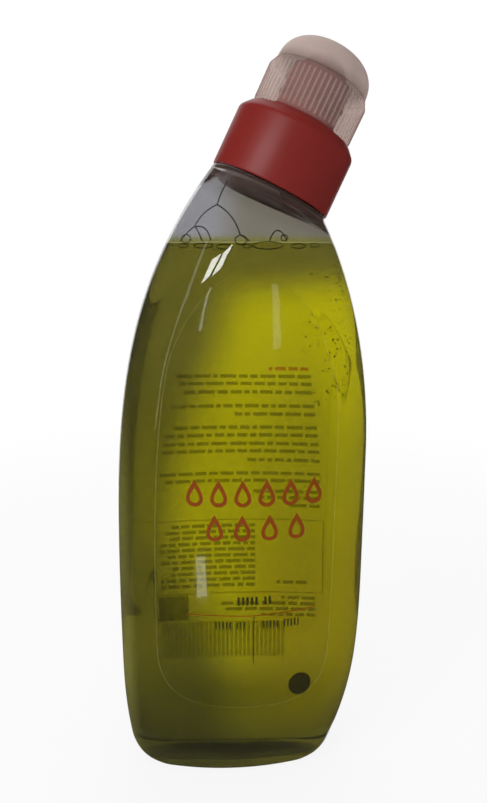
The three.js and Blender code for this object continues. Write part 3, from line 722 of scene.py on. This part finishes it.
def closure_skin():
    """Closed profile round the axis: up the skirt, over deck, spigot and nozzle, and back down inside."""
    skirt_bore = SKIRT_RADIUS - SKIRT_WALL
    deck_under = DECK_HEIGHT - DECK_WALL
    snap_bore = NECK_RADIUS + SLIDE_GAP
    snap_top = BEAD_BOTTOM - SEAT_GAP
    seal_radius = NECK_RADIUS - NECK_WALL - SEAT_GAP
    seal_inner = seal_radius - SEAL_WALL
    spigot_bore = SPIGOT_RADIUS - SPIGOT_WALL
    flange_top = DECK_HEIGHT + FLANGE_HEIGHT
    nozzle_middle = (SPIGOT_TOP + NOZZLE_TIP) / 2
    profile = rounded([
        (skirt_bore, 0, 0.2), (SKIRT_RADIUS + SKIRT_DRAFT, 0, 0.45), (SKIRT_RADIUS, SKIRT_HEIGHT, 0.9),
        (DECK_RADIUS, DECK_HEIGHT, 0.9), (FLANGE_RADIUS, DECK_HEIGHT, 0.4), (FLANGE_RADIUS, flange_top, 0.5),
        (SPIGOT_RADIUS, flange_top, 0.4), (SPIGOT_RADIUS, SPIGOT_TOP, 0.9),
        (NOZZLE_FOOT_RADIUS, SPIGOT_TOP, 0.4), (NOZZLE_MIDDLE_RADIUS, nozzle_middle, 2.0),
        (NOZZLE_TIP_RADIUS, NOZZLE_TIP, 0.6), (ORIFICE_RADIUS, NOZZLE_TIP, 0.2),
        (ORIFICE_RADIUS, nozzle_middle, 0.2),
        (NOZZLE_FOOT_RADIUS - SPIGOT_WALL, SPIGOT_TOP - SPIGOT_WALL / 2, 0),
        (spigot_bore, SPIGOT_TOP - SPIGOT_WALL * 2, 0), (spigot_bore, deck_under, 0.3),
        (seal_inner, deck_under, 0), (seal_inner, deck_under - SEAL_DEPTH, 0.2),
        (seal_radius, deck_under - SEAL_DEPTH, 0.5), (seal_radius, deck_under, 0),
        (skirt_bore, deck_under, 0), (skirt_bore, snap_top + 1, 0), (snap_bore, snap_top, 0.3),
        (snap_bore, snap_top - SNAP_RING_HEIGHT / 2, 0.3), (skirt_bore, snap_top - SNAP_RING_HEIGHT, 0),
    ])
    turn = np.arange(CLOSURE_COLUMNS) * 2 * pi / CLOSURE_COLUMNS
    return loft(in_neck(profile[:, :1], turn, profile[:, 1:]))


def thread_skin():
    """Coarse thread on the spigot: a ridge that climbs evenly as it turns and thins out at both ends."""
    turn = np.linspace(0, 2 * pi * THREAD_TURNS, 180)[:, None]
    share = turn / turn[-1]
    fade = np.clip(np.minimum(share, 1 - share) * 12, 0.2, 1)
    across = np.array([-0.5, -0.2, 0.2, 0.5, 0.3, -0.3]) * THREAD_WIDTH * fade
    out = np.array([-0.1, 1, 1, -0.1, -0.7, -0.7]) * THREAD_HEIGHT * fade
    rings = in_neck(SPIGOT_RADIUS + out, turn, lerp(THREAD_START, THREAD_END, share) + across)
    return loft(rings, rings[0].mean(0), rings[-1].mean(0))


def red_plastic():
    """Satin red polypropylene with a fine moulded skin, and painted light on the spigot and nozzle under the
    overcap.
    """
    finish = new_finish("red_plastic")
    place = finish.place()
    x, _, z = finish.axes()
    along = along_neck(x, z)
    shade = finish.noise(place, 9.0, 2.0)
    grain = finish.noise(place, 0.25, 2.0)
    normal = finish.node("Bump", {}, {"Strength": 0.2, "Distance": 0.00006, "Height": grain})
    red = finish.blend(shade, (0.230, 0.015, 0.011, 1), (0.270, 0.020, 0.015, 1))
    # Painted light: the spigot and nozzle are a lighter red, for the light that the frosted overcap scatters
    # onto them.
    spigot_painted_light_red = (0.52, 0.085, 0.085, 1)
    return finish.surface(finish.node("BsdfPrincipled", {}, {
        "Base Color": finish.blend(finish.rise(along, DECK_HEIGHT, DECK_HEIGHT + 2), red, spigot_painted_light_red),
        "Roughness": 0.36 + grain * 0.08, "IOR": 1.45, "Specular IOR Level": 0.34, "Normal": normal,
    }))


piece("closure", [closure_skin(), thread_skin()], [red_plastic()], node="collar", crisp=60)


# Overcap: one moulding of frosted translucent polypropylene. Fine ribs grip its band, a groove runs round
# the foot of its dome, and inside it an inner skirt passes over the spigot and a plug shuts the nozzle.
BAND_RADIUS = 17.4
RIB_COUNT = 60
RIB_HEIGHT = 0.35
RIB_SHARPNESS = 2.5
RIB_FADE = 1.2
BAND_PLAIN_FOOT = 0.8
BAND_TOP = 35.2
GROOVE_HEIGHT = 37.5
GROOVE_RADIUS = 16.1
GROOVE_DEPTH = 0.3
DOME_RADIUS = 15.9
DOME_APEX = 48.6
DOME_SQUARENESS = 2.4
CAP_WALL = 1.3
INNER_SKIRT_WALL = 1
INNER_SKIRT_LIFT = 2.5
PLUG_REACH = 1.6
COLUMNS_PER_RIB = 8


def dome(radius, apex, start, end, rows):
    """Squared-off ellipse: radius cos(t)^(2/n), height over the groove sin(t)^(2/n), between two radii."""
    foot = GROOVE_HEIGHT + GROOVE_DEPTH
    power = 2 / DOME_SQUARENESS
    turn = np.linspace(*(np.arccos((r / radius) ** (1 / power)) for r in (start, end)), rows)
    return np.stack([radius * np.cos(turn) ** power, foot + (apex - foot) * np.sin(turn) ** power], -1)


def overcap_skin():
    """Profile from the plug's tip over the inside to the foot, then up the ribbed outside to the top."""
    foot = DECK_HEIGHT + SEAT_GAP
    plain = BAND_RADIUS - RIB_HEIGHT
    bore = plain - CAP_WALL
    plug = ORIFICE_RADIUS - SEAT_GAP
    plug_tip = NOZZLE_TIP - PLUG_REACH
    inner_radius, inner_apex = DOME_RADIUS - CAP_WALL, DOME_APEX - CAP_WALL
    skirt_bore = SPIGOT_RADIUS + 2 * SLIDE_GAP
    skirt_outer = skirt_bore + INNER_SKIRT_WALL
    skirt_foot = DECK_HEIGHT + FLANGE_HEIGHT + INNER_SKIRT_LIFT
    inside = np.concatenate([
        [(plug * 0.4, plug_tip + 0.05), (plug, plug_tip + plug / 2)],
        dome(inner_radius, inner_apex, plug, skirt_bore, 12),
        [(skirt_bore, skirt_foot + 0.2), (skirt_bore + 0.2, skirt_foot), (skirt_outer - 0.2, skirt_foot),
         (skirt_outer, skirt_foot + 0.2)],
        dome(inner_radius, inner_apex, skirt_outer, inner_radius, 8),
        [(bore, BAND_TOP - CAP_WALL / 2), (bore, foot + 0.3), (bore + 0.3, foot)],
    ])
    band_foot = foot + BAND_PLAIN_FOOT
    ribs = np.linspace(band_foot + RIB_HEIGHT, BAND_TOP, 14)
    shoulder_end = GROOVE_HEIGHT - GROOVE_DEPTH
    shoulder_z = np.linspace(BAND_TOP, shoulder_end, 8)[1:]
    shoulder_turn = (shoulder_z - BAND_TOP) / (shoulder_end - BAND_TOP)
    shoulder_r = lerp(plain, GROOVE_RADIUS + GROOVE_DEPTH, (shoulder_turn ** 2 + shoulder_turn) / 2)
    outside = np.concatenate([
        [(plain - 0.3, foot), (plain, foot + 0.3), (plain, band_foot)],
        np.stack([np.full_like(ribs, plain), ribs], -1),
        np.stack([shoulder_r, shoulder_z], -1),
        [(GROOVE_RADIUS - GROOVE_DEPTH, GROOVE_HEIGHT)],
        dome(DOME_RADIUS, DOME_APEX, DOME_RADIUS, 0.5, 30),
    ])
    profile = np.concatenate([inside, outside])
    height = np.where(np.arange(len(profile)) < len(inside), 0, profile[:, 1])[:, None]
    over_foot = smoothstep(height, band_foot, band_foot + RIB_HEIGHT)
    ribbed = over_foot * (1 - smoothstep(height, BAND_TOP, BAND_TOP + RIB_FADE))
    turn = np.arange(RIB_COUNT * COLUMNS_PER_RIB) * 2 * pi / (RIB_COUNT * COLUMNS_PER_RIB)
    crest = ribbed * (0.5 + 0.5 * np.cos(turn * RIB_COUNT)) ** RIB_SHARPNESS
    rings = in_neck(profile[:, :1] + RIB_HEIGHT * crest, turn, profile[:, 1:])
    ends = in_neck(0, 0, np.array([plug_tip, DOME_APEX]))
    skin = loft(rings, ends[0], ends[1])
    inside_quads = np.arange(len(skin[1])) < len(inside) * len(turn)
    inside_fan = np.arange(len(skin[2])) < len(turn)
    return skin, np.concatenate([inside_quads, inside_fan]), np.append(crest, [0, 0])


def frosted_plastic(name, tint, cover, dome_cover):
    """Frosted translucent polypropylene: light that passes is tinted, and a pinkish haze covers a share.

    The haze is thicker on the ribs' crests and in the dome, whose wall is thicker, and a fine line of painted
    shade runs along the groove.
    """
    finish = new_finish(name)
    place = finish.place()
    x, _, z = finish.axes()
    along = along_neck(x, z)
    in_dome = finish.rise(along, GROOVE_HEIGHT - 1, GROOVE_HEIGHT + 4)
    # Painted shade: a darker, denser haze in a fine line along the groove, where shade falls.
    groove_painted_shade = 1 - finish.rise(finish.math("ABSOLUTE", along - GROOVE_HEIGHT), 0.15, 0.5)
    flow = finish.noise(place, 6.0, 3.0)
    grain = finish.noise(place, 0.3, 2.0)
    crest = finish.node("Attribute", {"attribute_name": "rib_crest"}, output="Fac")
    normal = finish.node("Bump", {}, {"Strength": 0.2, "Distance": 0.00008, "Height": grain})
    pink = finish.blend(flow, (0.64, 0.505, 0.455, 1), (0.72, 0.57, 0.515, 1))
    haze = finish.node("BsdfPrincipled", {}, {
        "Base Color": finish.blend(groove_painted_shade * 0.6, pink, (0.16, 0.10, 0.09, 1)),
        "Roughness": 0.45, "IOR": 1.45, "Specular IOR Level": 0.3, "Normal": normal,
    })
    clear = finish.node("BsdfTransparent", {}, {"Color": (*tint, 1)})
    amount = cover * (1 + flow * 0.4) + crest * 0.22 + (in_dome + groove_painted_shade * 0.3) * dome_cover
    return finish.surface(finish.mixed(amount, clear, haze))


cap, inside_cap, rib_crest = overcap_skin()
frosted = [
    frosted_plastic("frosted_plastic", (0.75, 0.66, 0.63), 0.18, 0.48),
    frosted_plastic("frosted_plastic_inside", (0.98, 0.97, 0.965), 0.03, 0.0),
]
piece("overcap_shell", [cap], frosted, body="overcap", node="overcap", crisp=60,
      second=inside_cap, marks={"rib_crest": rib_crest})


# Labels: clear film with an arched top and rounded lower corners, stuck on the front and the back panel.
# Little shows of it but its gloss, its pale cut edge and the print.
FILM_GAP = 0.25
FILM = 0.2
LABEL_BOTTOM_Z = 37
LABEL_CORNER_Z = 60
LABEL_ARCH_Z = 150
LABEL_TOP_Z = 189
LABEL_HALF_SHARE = 0.66
LABEL_ROWS = 96
LABEL_COLUMNS = 44
EDGE_SHARE = 0.996


def sheet_skin(outer, inner):
    """Closed thin solid between two grids of points of the same shape. Rows go up, columns to one side."""
    rows, columns = outer.shape[:2]
    ring = np.concatenate([outer, inner[:, ::-1]], axis=1)
    index = np.arange(rows * columns * 2).reshape(rows, columns * 2)
    low, high = index[:-1], index[1:]
    quads = np.stack([low, np.roll(low, -1, 1), np.roll(high, -1, 1), high], -1).reshape(-1, 4)
    ends = []
    for row, order in ((index[0], -1), (index[-1], 1)):
        near, far = row[:columns], row[columns:][::-1]
        ends.append(np.stack([near[:-1], near[1:], far[1:], far[:-1]], -1)[:, ::order])
    return ring.reshape(-1, 3), np.concatenate([quads, *ends]), np.zeros((0, 3), int)


def film_skin(facing):
    """The film and the mark of its cut edge. Its rows follow the body's sections.

    Their half widths are LABEL_HALF_SHARE (1 - low^3)^(1/3) (1 - high^2)^(1/2) of the body's.
    """
    middle_top = (left_outline[-1, 1] + right_outline[-1, 1]) / 2
    turn = np.linspace(0, pi, LABEL_ROWS)[:, None]
    z = lerp(LABEL_BOTTOM_Z, LABEL_TOP_Z, (1 - np.cos(turn)) / 2)
    low = np.maximum(0, (LABEL_CORNER_Z - z) / (LABEL_CORNER_Z - LABEL_BOTTOM_Z))
    high = np.maximum(0, (z - LABEL_ARCH_Z) / (LABEL_TOP_Z - LABEL_ARCH_Z))
    half = LABEL_HALF_SHARE * np.maximum((1 - low ** 3) ** (1 / 3) * np.sqrt(1 - high ** 2), 0.01)
    across = np.sin(np.linspace(-pi / 2, pi / 2, LABEL_COLUMNS))
    section = body_section((z - HEEL_HEIGHT) / (middle_top - HEEL_HEIGHT))
    base = section_points(section, half * across, facing, 0)
    faces = [base + (0, facing * lift, 0) for lift in (FILM_GAP + FILM, FILM_GAP)]
    cut_edge = np.tile(np.abs(across) > EDGE_SHARE, (LABEL_ROWS, 2))
    return sheet_skin(*faces), cut_edge.astype(float)


def clear_film():
    """Clear film: nearly invisible, with a gloss that shows its surface at a slant and a pale cut edge."""
    finish = new_finish("clear_film")
    cloud = finish.noise(finish.place(), 20.0, 1.0)
    gloss = finish.node("Fresnel", {}, {"IOR": 1.3})
    edge = finish.node("Attribute", {"attribute_name": "cut_edge"}, output="Fac")
    clear = finish.node("BsdfTransparent", {}, {"Color": (0.985, 0.985, 0.98, 1)})
    shine = finish.node("BsdfGlossy", {}, {"Roughness": 0.1})
    pale = finish.node("BsdfDiffuse", {}, {"Color": (0.50, 0.48, 0.28, 1)})
    shiny = finish.mixed(gloss * (0.5 + cloud * 0.3), clear, shine)
    return finish.surface(finish.mixed(edge * 0.1, shiny, pale))


film = [clear_film()]
for name, facing in (("front", -1), ("back", 1)):
    skin, cut_edge = film_skin(facing)
    piece(name + "_film", [skin], film, node=name + "_label", marks={"cut_edge": cut_edge})


# Print: plain shapes of ink on the two films. The front has two rows of outlined drops, short ticks, a thin
# rule, a divider and a disc. The back has rows of dashes, an empty frame beside them, a square and an even
# row of bars.
INK = 0.045
TITLE_ROWS = ((6, -16.1, 7.8, 118.6, 9.4), (4, -9.7, 9.0, 106.7, 9.4))
DROP_HALF_WIDTH = 3.0
DROP_STROKE = 1.3
DROP_PEAK = 0.77
DASH_HEIGHT = 1.4
TEXT_ROWS = (
    (-20.7, 24.4, 146.8), (-19.3, 24.8, 143.8), (-17.9, 25.2, 140.4), (-22.4, 25.8, 134.9),
    (-0.8, 26.2, 131.7), (-21.4, 26.8, 126.5), (-25.0, 27.2, 123.4), (-25.0, 27.6, 120.0),
    (-26.0, 27.8, 117.0), (3.4, 28.0, 113.4), (-26.5, 28.2, 108.0), (-25.0, 28.2, 105.0),
    (4.5, 28.2, 100.6), (8.0, 28.2, 98.0), (17.4, 28.2, 94.8), (13.2, 24.0, 62.4),
    (15.0, 27.0, 56.0), (-6.0, 27.0, 53.6), (-6.0, 27.0, 51.2), (8.0, 27.0, 48.8),
)
FRAME_LEFT = -29.3
FRAME_RIGHT = 29.6
FRAME_BOTTOM = 58
FRAME_TOP = 89
FRAME_LINE = 0.35

chance = np.random.default_rng(7)


def on_body(x, z, facing, lift):
    """Points over (x, z) of the front view, lifted off the body's front or back."""
    def across(section):
        return (x - section[0][..., 0]) / section[1][..., 0]

    section = body_section(section_share(z, across))
    v = across(section) / section[2]
    return np.stack([x, facing * (section_depth(section, v, 0, facing) + lift), z], -1)


def ink_sheets(x, z, facing):
    """Thin solids of ink over grids of (x, z), one for each first index."""
    faces = [on_body(x, z, facing, FILM_GAP + FILM + lift) for lift in (INK, 0)]
    return [sheet_skin(outer, inner) for outer, inner in zip(*faces)]


def ink_bars(bars, facing, columns=2):
    """Upright rectangles of ink from (left, right, bottom, top) rows."""
    left, right, bottom, top = np.array(bars, float).T[..., None, None]
    across, up = np.linspace(0, 1, columns), np.array([0, 1])[:, None]
    return ink_sheets(*np.broadcast_arrays(lerp(left, right, across), lerp(bottom, top, up)), facing)


def ink_oval(x, z, half_width, half_height, facing):
    """Filled oval of ink: rows at heights cos(t), as wide as sin(t)."""
    turn = np.linspace(pi - 0.05, 0.05, 15)[:, None]
    return ink_sheets(*np.broadcast_arrays(
        x + half_width * np.sin(turn) * np.linspace(-1, 1, 9), z + half_height * np.cos(turn))[:2], facing)


def drop_skin(x, z, height, facing):
    """Outline of a drop: x = w sin(t) sin(t/2)^1.5 / DROP_PEAK, z = h/2 cos(t), less a smaller drop inside."""
    turn = np.arange(64) * 2 * pi / 64
    across, up = np.sin(turn) * np.sin(turn / 2) ** 1.5, np.cos(turn)
    inner_width = DROP_HALF_WIDTH - DROP_STROKE
    inner_height = height / 2 * inner_width / DROP_HALF_WIDTH
    inner_z = z - height / 2 + DROP_STROKE + inner_height
    outer = x + DROP_HALF_WIDTH / DROP_PEAK * across, z + height / 2 * up
    inner = x + inner_width / DROP_PEAK * across, inner_z + inner_height * up
    face = FILM_GAP + FILM
    loops = ((outer, face + INK), (inner, face + INK), (inner, face), (outer, face))
    return loft(np.stack([on_body(*loop, facing, lift) for loop, lift in loops]))


def ticks(left, right, bottom, top, width, pitch):
    """A row of upright ticks, with every sixth left out, as (left, right, bottom, top)."""
    starts = np.arange(left, right - width, pitch)
    starts = starts[np.arange(len(starts)) % 6 != 5]
    return [(start, start + width, bottom, top) for start in starts]


def dashes(end, start, z):
    """One row of dashes of uneven length from its start, at the right, to its end."""
    row = []
    while start > end + 1:
        length = min(chance.uniform(1.6, 6.0), start - end)
        row.append((start - length, start, z - DASH_HEIGHT / 2, z + DASH_HEIGHT / 2))
        start -= length + 0.8
    return row


def ink(name, dark, light, cover, tint):
    """Slightly uneven ink: it covers by a share, and the light that passes is tinted."""
    finish = new_finish(name)
    cloud = finish.noise(finish.place(), 2.0, 2.0)
    matt = finish.node("BsdfPrincipled", {}, {
        "Base Color": finish.blend(cloud, (*dark, 1), (*light, 1)),
        "Roughness": 0.45, "Specular IOR Level": 0.2,
    })
    clear = finish.node("BsdfTransparent", {}, {"Color": (*tint, 1)})
    return finish.surface(finish.mixed(cover + cloud * 0.1, clear, matt))


rust_ink = ink("rust_ink", (0.29, 0.058, 0.002), (0.35, 0.074, 0.003), 0.8, (0.6, 0.3, 0.2))
red_ink = ink("red_ink", (0.30, 0.022, 0.004), (0.36, 0.030, 0.005), 0.5, (0.8, 0.35, 0.2))
dark_ink = ink("dark_ink", (0.040, 0.035, 0.008), (0.055, 0.048, 0.010), 0.6, (0.4, 0.4, 0.35))
faint_ink = ink("faint_ink", (0.050, 0.045, 0.008), (0.070, 0.062, 0.010), 0.04, (0.78, 0.78, 0.66))
faint_red = ink("faint_red", (0.30, 0.022, 0.004), (0.36, 0.030, 0.005), 0.03, (0.98, 0.70, 0.45))
pale_ink = ink("pale_ink", (0.050, 0.045, 0.008), (0.070, 0.062, 0.010), 0.01, (0.88, 0.88, 0.78))

title = [drop_skin(start + i * pitch, z, height, -1)
         for count, start, pitch, z, height in TITLE_ROWS for i in range(count)]
rule_x = np.linspace(-19.5, 24.7, 40)
rule_z = np.interp(rule_x, (-19.5, 2.1, 24.7), (74.6, 74.3, 75.6)) + np.array([-0.13, 0.13])[:, None]
rule = ink_sheets(np.broadcast_to(rule_x, (1, 2, 40)), rule_z[None], -1)
small_marks = ink_bars([
    *ticks(-2.3, 9.8, 78.4, 81.6, 0.8, 1.5), *ticks(-9.9, 1.0, 69.2, 72.0, 0.6, 1.2),
    *ticks(6.3, 20.9, 69.2, 72.2, 0.6, 1.2), (3.1, 3.4, 54.6, 74.4),
], -1)
disc = ink_oval(np.array([19.9])[:, None, None], np.array([44.6])[:, None, None], 4.1, 4.4, -1)
piece("front_title", title, [rust_ink])
piece("front_rule", rule, [red_ink])
piece("front_marks", small_marks + disc, [dark_ink])

text = [dash for row in TEXT_ROWS for dash in dashes(*row)]
panel_text = [dash for z in np.arange(86.4, 61, -2.5)
              for dash in dashes(-27.4 + chance.uniform(0, 5), 6.0, z)]
frame_lines = [
    (FRAME_LEFT, FRAME_RIGHT, FRAME_TOP - FRAME_LINE, FRAME_TOP),
    (FRAME_LEFT, FRAME_RIGHT, FRAME_BOTTOM, FRAME_BOTTOM + FRAME_LINE),
]
frame_sides = [(x, x + FRAME_LINE, FRAME_BOTTOM, FRAME_TOP) for x in (FRAME_LEFT, FRAME_RIGHT - FRAME_LINE)]
stripes = [(x, x + 1.2, 31.0, 46.0) for x in np.arange(-27, 16, 1.5)]
square = ink_bars([(-28.0, -17.5, 47, 57.4)], 1, 12)
back_marks = ink_bars(text + panel_text + frame_sides, 1) + square
piece("back_marks", back_marks + ink_bars(frame_lines, 1, 40), [faint_ink])
piece("back_stripes", ink_bars(stripes, 1), [pale_ink])
piece("back_heading", ink_bars(dashes(10.6, 23.6, 149.9), 1), [faint_red])


# Foam and bubbles: a few thin films of foam that cling to the wall above the liquid, cells of foam along its
# level line, and small bubbles of air near the right wall. They sit just inside the wall.
FOAM_DEPTH = -1.0
FOAM_THICK = 0.2
FOAM_THIN = 0.18
FOAM_LINES = (
    ((-7.6, 208.4), (-6.4, 211.8), (-4.2, 215.9)), ((-7.6, 208.4), (-11.8, 205.9), (-14.7, 202.0)),
    ((-7.6, 208.4), (-3.4, 204.6), (-0.9, 199.3)), ((-14.7, 202.0), (-17.2, 200.0), (-19.4, 197.4)),
    ((8.0, 197.4), (10.5, 200.6), (13.4, 197.6)), ((-14.7, 202.0), (-13.4, 199.8), (-12.4, 197.4)),
    ((-14.5, 201.8), (-11.5, 201.2), (-9.8, 197.6)), ((-0.9, 199.3), (0.6, 198.4), (2.0, 197.4)),
)
FOAM_RINGS = (
    (-17.6, 198.2, 1.5, 1.3), (-12.0, 196.0, 3.0, 0.7), (-5.6, 195.7, 2.4, 0.7), (-0.7, 197.7, 1.8, 1.4),
    (7.5, 196.1, 4.6, 1.1), (17.0, 195.9, 2.2, 0.7), (-18.4, 196.0, 1.5, 0.6), (1.2, 195.9, 1.3, 0.5),
    (22.4, 196.2, 1.6, 0.6), (12.6, 198.4, 1.0, 0.9),
)
BUBBLE_COUNT = 110
BUBBLE_DEPTH = -1.3


def tube_skin(path, radius):
    """Round tube along a path of points on the wall: circles spanned by y and by the way across the path."""
    along = np.gradient(path, axis=0)
    across = np.cross(along, (0, 1, 0))
    across /= np.linalg.norm(across, axis=1, keepdims=True)
    turn = (np.arange(8) * pi / 4)[None, :, None]
    rings = path[:, None] + radius * (np.cos(turn) * across[:, None] + np.sin(turn) * np.array([0, 1, 0]))
    return loft(rings, path[0], path[-1])


def foam_line(points):
    """Tube on the front wall through three points of the front view, joined by a parabola."""
    start, middle, end = np.array(points)
    t = np.linspace(0, 1, 16)[:, None]
    plan = (1 - t) ** 2 * start + 2 * (1 - t) * t * (2 * middle - (start + end) / 2) + t * t * end
    return tube_skin(on_body(plan[:, 0], plan[:, 1], -1, FOAM_DEPTH), FOAM_THICK)


def foam_ring(x, z, half_width, half_height):
    """Oval tube on the front wall round a cell of foam."""
    turn = np.linspace(0, 2 * pi, 29)
    plan = x + half_width * np.cos(turn), z + half_height * np.sin(turn)
    return tube_skin(on_body(*plan, -1, FOAM_DEPTH), FOAM_THIN)


def bubble_skins():
    """Small balls at seeded places inside the front wall, most of them towards the right side."""
    x = 36 - 22 * chance.beta(1.2, 3.0, BUBBLE_COUNT)
    z = chance.uniform(146, 190, BUBBLE_COUNT)
    radius = chance.uniform(0.18, 0.38, BUBBLE_COUNT)
    x = np.minimum(x, outline_at(right_outline, z) - 5)
    centres = on_body(x, z, -1, BUBBLE_DEPTH)
    turn = np.arange(8) * pi / 4
    tilt = np.linspace(0, pi, 7)[1:-1, None]
    parts = np.sin(tilt) * np.cos(turn), np.sin(tilt) * np.sin(turn), -np.cos(tilt)
    ball = np.stack(np.broadcast_arrays(*parts), -1)
    pole = np.array([0, 0, 1])
    return [loft(c + r * ball, c - r * pole, c + r * pole) for c, r in zip(centres, radius)]


def foam_film():
    """Thin wet film of foam, dark where it turns edge-on."""
    finish = new_finish("foam_film")
    cloud = finish.noise(finish.place(), 1.5, 2.0)
    wet = finish.node("BsdfPrincipled", {}, {
        "Base Color": finish.blend(cloud, (0.05, 0.05, 0.045, 1), (0.12, 0.12, 0.10, 1)),
        "Roughness": 0.2,
    })
    clear = finish.node("BsdfTransparent", {}, {"Color": (0.8, 0.8, 0.78, 1)})
    return finish.surface(finish.mixed(0.45 + cloud * 0.3, clear, wet))


def air_bubble():
    """Tiny bubble of air: it turns the light aside, so that it looks dark in the liquid."""
    finish = new_finish("air_bubble")
    cloud = finish.noise(finish.place(), 1.0, 1.0)
    dark = finish.node("BsdfPrincipled", {}, {
        "Base Color": finish.blend(cloud, (0.03, 0.028, 0.004, 1), (0.10, 0.09, 0.01, 1)),
        "Roughness": 0.3,
    })
    clear = finish.node("BsdfTransparent", {}, {"Color": (0.6, 0.6, 0.5, 1)})
    return finish.surface(finish.mixed(0.3 + cloud * 0.4, clear, dark))


foam = [foam_line(points) for points in FOAM_LINES] + [foam_ring(*ring) for ring in FOAM_RINGS]
piece("foam", foam, [foam_film()])
piece("bubbles", bubble_skins(), [air_bubble()])
